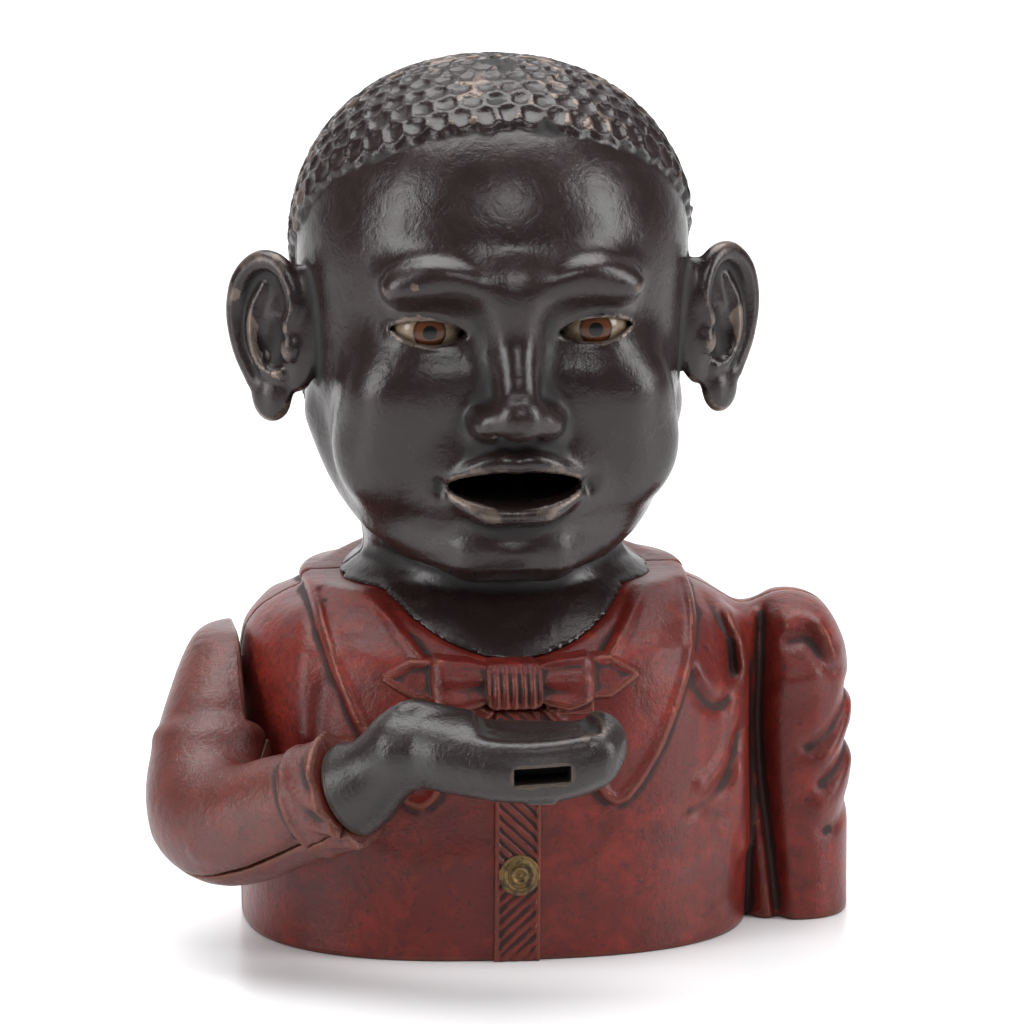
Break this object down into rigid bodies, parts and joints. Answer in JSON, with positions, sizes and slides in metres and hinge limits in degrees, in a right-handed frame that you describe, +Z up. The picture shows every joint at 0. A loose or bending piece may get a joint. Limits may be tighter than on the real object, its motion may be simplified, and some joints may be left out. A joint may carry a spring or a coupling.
{
  "type": "mechanical bank",
  "caption": "Cast bust with a hollow body, an arm on a cross shaft that lifts a coin from the hand to the mouth, a rear thumb lever and a swinging trap underneath.",
  "frame": {"origin": "centre of the bounding box on the surface that the bank stands on", "axes": "+X to the figure's left, which is a viewer's right; -Y to its front, where the hand is; +Z up"},
  "size_m": [0.1366, 0.1452, 0.165],
  "materials": {
    "jacket_paint": "worn dark red paint over cast iron, dull with shiny rubbed edges",
    "head_paint": "worn near-black paint over cast iron, satin, brown where it is rubbed",
    "bare_iron": "dark unpainted cast iron with a little brown rust",
    "steel": "dull turned steel",
    "spring_steel": "blued spring steel",
    "eye_enamel": "glossy enamel eyeball with a brown iris"
  },
  "bodies": {
    "bust": {"front_casting": "jacket_paint", "back_casting": "jacket_paint", "base_plate": "bare_iron", "base_screws": "steel", "body_screws": "steel", "trap_rivet": "steel", "trap_washer": "spring_steel", "tongue_pivot_pin": "steel"},
    "arm": {"arm_outer_half": "jacket_paint", "arm_inner_half": "jacket_paint", "arm_rivets": "bare_iron", "arm_shaft": "steel", "arm_pin": "steel", "shaft_collar": "steel", "thumb_lever": "head_paint", "lever_pin": "steel", "rod_crank": "bare_iron", "crank_pin": "steel", "crank_link_pin": "steel"},
    "rod": {"pull_rod": "steel"},
    "tongue": {"tongue": "bare_iron", "tongue_link_pin": "steel"},
    "eyes": {"eye_bar": "steel", "eye_crank": "bare_iron", "eye_link_pin": "steel", "right_eye": "eye_enamel", "left_eye": "eye_enamel"},
    "trap": {"trap_cover": "bare_iron"}
  },
  "joints": [
    {"name": "arm_lift", "type": "hinge", "parent": "bust", "child": "arm", "pos_m": [0, 0.004, 0.048], "axis": [-1, 0, 0], "range_deg": [0, 43]},
    {"name": "rod_pull", "type": "slide", "parent": "bust", "child": "rod", "axis": [0, 0, -1], "range_m": [0, 0.00882]},
    {"name": "eye_roll", "type": "hinge", "parent": "bust", "child": "eyes", "pos_m": [0, -0.022, 0.118], "axis": [-1, 0, 0], "range_deg": [0, 25.5]},
    {"name": "tongue_tilt", "type": "hinge", "parent": "bust", "child": "tongue", "pos_m": [0, -0.02, 0.0835], "axis": [-1, 0, 0], "range_deg": [0, 28.3]},
    {"name": "trap_swing", "type": "hinge", "parent": "bust", "child": "trap", "pos_m": [0.004, 0.015, 0.003], "axis": [0, 0, 1], "range_deg": [0, 110]}
  ],
  "couplings": [
    {"joint": "rod_pull", "follows": "arm_lift", "m_per_rad": 0.01172},
    {"joint": "eye_roll", "follows": "arm_lift", "ratio": 0.59085},
    {"joint": "tongue_tilt", "follows": "arm_lift", "ratio": 0.65779}
  ]
}
